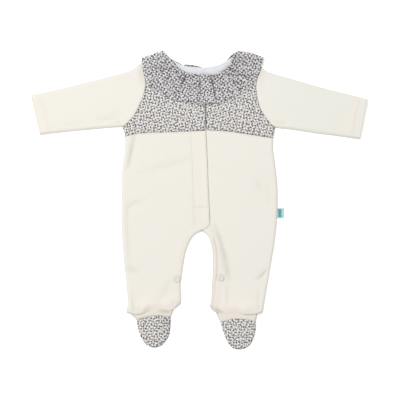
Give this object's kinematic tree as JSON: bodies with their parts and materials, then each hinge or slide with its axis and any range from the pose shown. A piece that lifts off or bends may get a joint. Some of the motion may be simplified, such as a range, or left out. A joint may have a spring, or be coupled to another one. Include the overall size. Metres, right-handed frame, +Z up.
{
  "type": "footed baby sleepsuit",
  "caption": "Footed baby sleepsuit laid flat, with long sleeves, a printed yoke, gathered neck ruffle and toe caps, a front lap and a leg popper on each leg.",
  "frame": {"origin": "below the middle of the suit's bounding box, on the surface that it lies on", "axes": "+X across the suit towards the wearer's left sleeve, +Y from the feet towards the neck, +Z up off the surface, out of the suit's front"},
  "size_m": [0.5548, 0.4955, 0.0094],
  "materials": {
    "jersey": "matte",
    "print": "matte",
    "facing": "matte",
    "popper": "satin",
    "label": "matte"
  },
  "bodies": {
    "root": {"back_body": "jersey", "front_right": "jersey", "front_left": "jersey", "front_underlap": "jersey", "yoke_right": "print", "yoke_left": "print", "neck_ruffle": "print", "neck_facing": "facing", "sleeve_right": "jersey", "sleeve_left": "jersey", "instep_right": "jersey", "instep_left": "jersey", "toe_cap_right": "print", "toe_cap_left": "print", "sole_right": "jersey", "sole_left": "jersey", "popper_right": "popper", "popper_left": "popper", "side_label": "label"}
  },
  "joints": []
}
